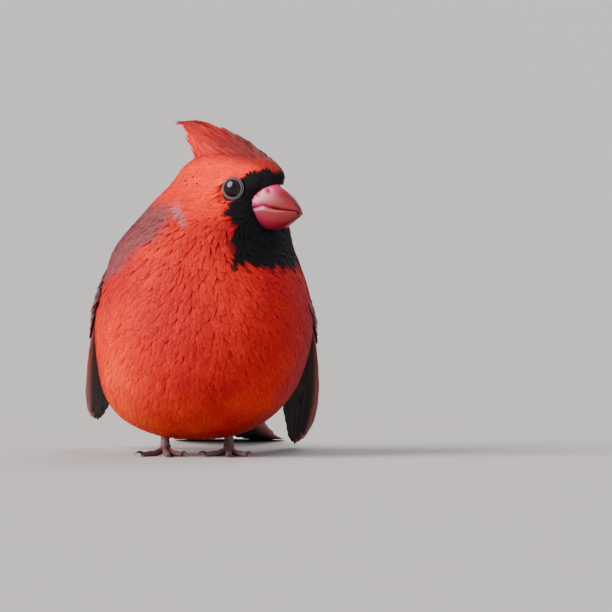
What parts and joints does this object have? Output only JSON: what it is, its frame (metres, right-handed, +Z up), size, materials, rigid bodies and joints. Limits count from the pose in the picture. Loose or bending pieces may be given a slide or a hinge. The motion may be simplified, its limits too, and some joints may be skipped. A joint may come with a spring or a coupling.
{
  "type": "male northern cardinal",
  "caption": "Life-size still model of a male northern cardinal standing upright and fluffed up, head turned to its left, wings drooped and tail laid back to the floor.",
  "frame": {"origin": "centre of the model's box at the level the toes and tail rest on", "axes": "+Z up, +Y towards the tail, +X to the bird's left"},
  "size_m": [0.076, 0.1846, 0.108],
  "materials": {
    "plumage_red": "soft matte body feathers, vivid red",
    "plumage_grey": "matte flight feathers, dusky red-grey",
    "bill": "smooth satin horn, coral red",
    "eye": "wet and glossy, near black",
    "leg_skin": "dry scaly skin, purplish brown",
    "claw": "dark horn"
  },
  "bodies": {
    "root": {"torso": "plumage_red", "neck": "plumage_red", "head": "plumage_red", "crest": "plumage_red", "wing_left": "plumage_grey", "wing_right": "plumage_grey", "tail": "plumage_grey", "bill_upper": "bill", "bill_lower": "bill", "eye_left": "eye", "eye_right": "eye", "leg_left": "leg_skin", "leg_right": "leg_skin", "claw_left_1": "claw", "claw_left_2": "claw", "claw_left_3": "claw", "claw_left_4": "claw", "claw_right_1": "claw", "claw_right_2": "claw", "claw_right_3": "claw", "claw_right_4": "claw"}
  },
  "joints": []
}
